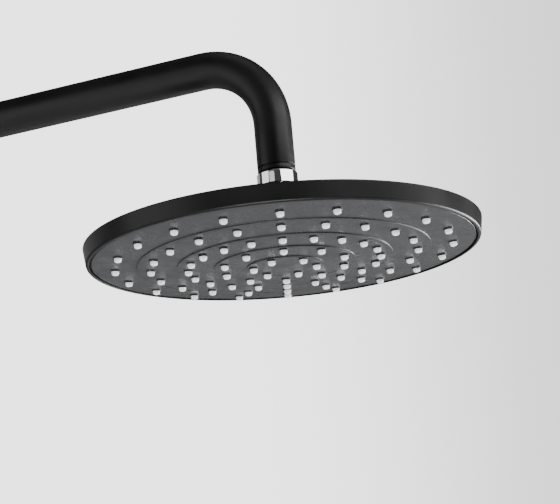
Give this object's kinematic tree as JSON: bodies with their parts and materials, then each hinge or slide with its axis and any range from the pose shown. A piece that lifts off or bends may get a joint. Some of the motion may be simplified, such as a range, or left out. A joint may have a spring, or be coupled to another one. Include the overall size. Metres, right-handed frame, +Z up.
{
  "type": "overhead rain shower with wall arm",
  "caption": "Round overhead rain shower head with rings of soft nozzles, hung by a ball joint from a bent tubular wall arm with a wall flange.",
  "frame": {"origin": "on the arm's axis at the finished wall face, where the inlet thread meets the end ring", "axes": "+Y into the wall along the inlet thread, +Z up, the arm reaches out along -Y and the head hangs below it"},
  "size_m": [0.2572, 0.5227, 0.1773],
  "materials": {
    "black_coat": "satin, matt black powder coat",
    "black_shell": "satin, matt black ABS shell",
    "face_grey": "satin-gloss dark grey ABS, wet in use",
    "white_silicone": "soft white silicone",
    "chrome": "polished chrome plate on brass",
    "brass": "machined brass",
    "black_rubber": "matt EPDM",
    "grey_foam": "matt closed-cell foam",
    "stainless": "plain stainless steel",
    "green_plastic": "moulded acetal",
    "acetal": "natural acetal, low friction",
    "pale_plastic": "moulded ABS"
  },
  "bodies": {
    "arm": {"arm_tube": "black_coat", "inlet_nipple": "brass", "outlet_ferrule": "black_coat", "ball_connector": "chrome", "inlet_washer": "black_rubber", "filter_screen": "stainless", "flow_regulator": "green_plastic", "regulator_oring": "black_rubber"},
    "flange": {"wall_flange": "black_coat", "flange_oring": "black_rubber", "wall_gasket": "grey_foam"},
    "upper_liner": {"upper_ball_liner": "acetal"},
    "lower_liner": {"lower_ball_liner": "acetal"},
    "head": {"ball_seal": "black_rubber", "neck_collar": "black_coat", "neck_socket": "brass", "socket_oring": "black_rubber", "socket_screws": "stainless", "neck_oring": "black_rubber", "back_shell": "black_shell", "chamber_plate": "pale_plastic", "nozzle_mat": "white_silicone", "face_plate": "face_grey", "face_screws": "stainless", "rim_seal": "black_rubber"}
  },
  "joints": [
    {"name": "flange_slide", "type": "slide", "parent": "arm", "child": "flange", "axis": [0, -1, 0], "range_m": [0, 0.3]},
    {"name": "head_tilt_x", "type": "hinge", "parent": "arm", "child": "upper_liner", "pos_m": [0, -0.38, -0.1085], "axis": [1, 0, 0], "range_deg": [-10, 10]},
    {"name": "head_tilt_y", "type": "hinge", "parent": "upper_liner", "child": "lower_liner", "pos_m": [0, -0.38, -0.1085], "axis": [0, 1, 0], "range_deg": [-10, 10]},
    {"name": "head_spin", "type": "hinge", "parent": "lower_liner", "child": "head", "pos_m": [0, -0.38, -0.1085], "axis": [0, 0, 1], "continuous": true}
  ]
}
